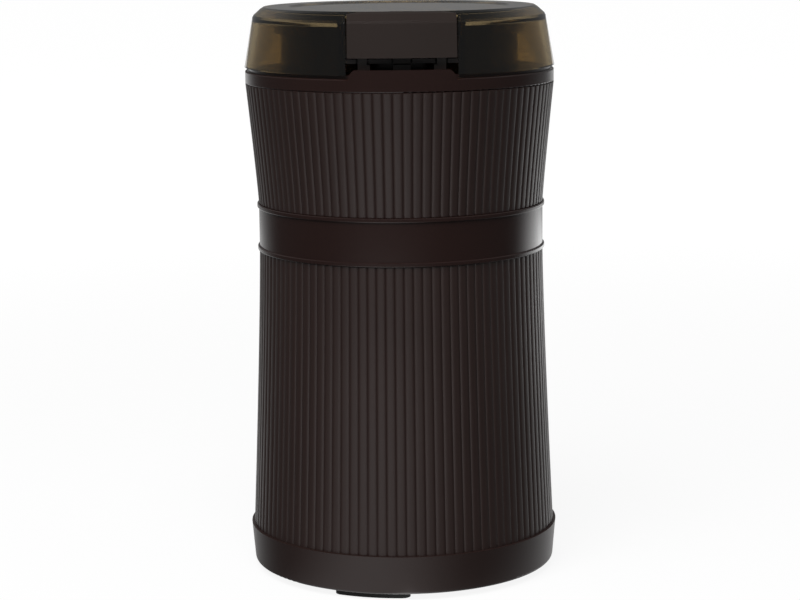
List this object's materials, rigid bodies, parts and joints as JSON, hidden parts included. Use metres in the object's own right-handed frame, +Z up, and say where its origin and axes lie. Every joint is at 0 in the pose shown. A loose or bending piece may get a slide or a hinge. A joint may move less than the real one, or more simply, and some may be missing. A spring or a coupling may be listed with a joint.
{
  "type": "electric spice grinder",
  "caption": "Waisted, reeded electric spice and coffee grinder with a clear amber lift-off lid, a press tab that works the switch, a steel bowl with a spinning blade, and its motor.",
  "frame": {"origin": "centre of the footprint, on the surface that the feet stand on", "axes": "+Z up along the motor shaft, -Y towards the press tab at the front, +X to the right as seen from the front"},
  "size_m": [0.0922, 0.0922, 0.1677],
  "materials": {
    "housing_plastic": "dark brown, satin, reeded",
    "trim_plastic": "dark brown, polished",
    "lid_plastic": "clear amber, polished",
    "tab_plastic": "dark brown, fine satin",
    "frame_plastic": "dark brown",
    "foot_rubber": "matt black",
    "seal_rubber": "matt dark grey",
    "gland_rubber": "matt black",
    "screw_steel": "zinc plated",
    "bowl_steel": "drawn stainless sheet",
    "blade_steel": "ground stainless",
    "spring_steel": "bright wire",
    "lever_steel": "rolled strip",
    "shaft_steel": "ground",
    "lamination_steel": "stacked sheet",
    "bracket_zinc": "die cast, matt",
    "bracket_phenolic": "moulded phenolic",
    "copper_wire": "varnished copper wire",
    "commutator_copper": "turned copper bars",
    "bush_bronze": "sintered bronze",
    "nut_brass": "turned brass",
    "carbon": "pressed carbon",
    "fan_plastic": "moulded, dark grey",
    "washer_plastic": "fibre",
    "hub_plastic": "moulded, dark brown",
    "switch_plastic": "moulded, dark grey",
    "switch_button_plastic": "moulded, red",
    "suppressor_case": "moulded, yellow",
    "terminal_plastic": "moulded, off-white",
    "clamp_plastic": "moulded, black"
  },
  "bodies": {
    "housing": {"rubber_feet": "foot_rubber", "base_cover": "trim_plastic", "base_screws": "screw_steel", "lower_housing": "housing_plastic", "waist_band": "trim_plastic", "upper_housing": "housing_plastic", "housing_screws": "screw_steel", "top_collar": "trim_plastic", "collar_screws": "screw_steel", "grinding_bowl": "bowl_steel", "bowl_gasket": "seal_rubber", "bowl_bushing": "nut_brass", "bushing_nut": "nut_brass", "shaft_seal": "seal_rubber", "motor_grommets": "seal_rubber", "motor_screws": "screw_steel", "upper_bracket": "bracket_zinc", "upper_bearing": "bush_bronze", "stator_core": "lamination_steel", "field_coils": "copper_wire", "stator_bolts": "screw_steel", "lower_bracket": "bracket_phenolic", "lower_bearing": "bush_bronze", "brush_tubes": "nut_brass", "carbon_brushes": "carbon", "brush_springs": "spring_steel", "brush_caps": "bracket_phenolic", "switch_body": "switch_plastic", "switch_screws": "screw_steel", "plunger_spring": "spring_steel", "suppressor": "suppressor_case", "terminal_block": "terminal_plastic", "cord_gland": "gland_rubber", "cord_clamp": "clamp_plastic", "clamp_screws": "screw_steel"},
    "rotor": {"motor_shaft": "shaft_steel", "armature_core": "lamination_steel", "armature_windings": "copper_wire", "commutator": "commutator_copper", "cooling_fan": "fan_plastic", "thrust_washers": "washer_plastic", "blade_hub": "hub_plastic", "grinding_blade": "blade_steel", "blade_cap": "hub_plastic"},
    "lid": {"lid_cover": "lid_plastic", "button_frame": "frame_plastic", "tab_springs": "spring_steel"},
    "tab": {"press_tab": "tab_plastic"},
    "plunger": {"plunger": "frame_plastic"},
    "lever": {"switch_lever": "lever_steel"},
    "button": {"switch_button": "switch_button_plastic"}
  },
  "joints": [
    {"name": "lid_lift", "type": "slide", "parent": "housing", "child": "lid", "axis": [0, 0, 1], "range_m": [0, 0.045]},
    {"name": "button_press", "type": "slide", "parent": "lid", "child": "tab", "axis": [0, 0, -1], "range_m": [0, 0.003], "stiffness_N_per_m": 500, "springref_m": -0.003, "deforming": ["tab_springs"]},
    {"name": "plunger_drop", "type": "slide", "parent": "housing", "child": "plunger", "axis": [0, 0, -1], "range_m": [0, 0.003], "stiffness_N_per_m": 300, "springref_m": -0.003, "deforming": ["plunger_spring"]},
    {"name": "switch_lever_tilt", "type": "hinge", "parent": "housing", "child": "lever", "pos_m": [-0.008, -0.0275, 0.1095], "axis": [0, 1, 0], "range_deg": [0, 11.3]},
    {"name": "switch_button_press", "type": "slide", "parent": "housing", "child": "button", "axis": [0, 0, -1], "range_m": [0, 0.00122]},
    {"name": "rotor_spin", "type": "hinge", "parent": "housing", "child": "rotor", "pos_m": [0, 0, 0.07], "axis": [0, 0, 1], "continuous": true}
  ],
  "couplings": [
    {"joint": "plunger_drop", "follows": "button_press", "ratio": 1},
    {"joint": "switch_lever_tilt", "follows": "button_press", "rad_per_m": 65.7},
    {"joint": "switch_button_press", "follows": "button_press", "ratio": 0.4}
  ]
}
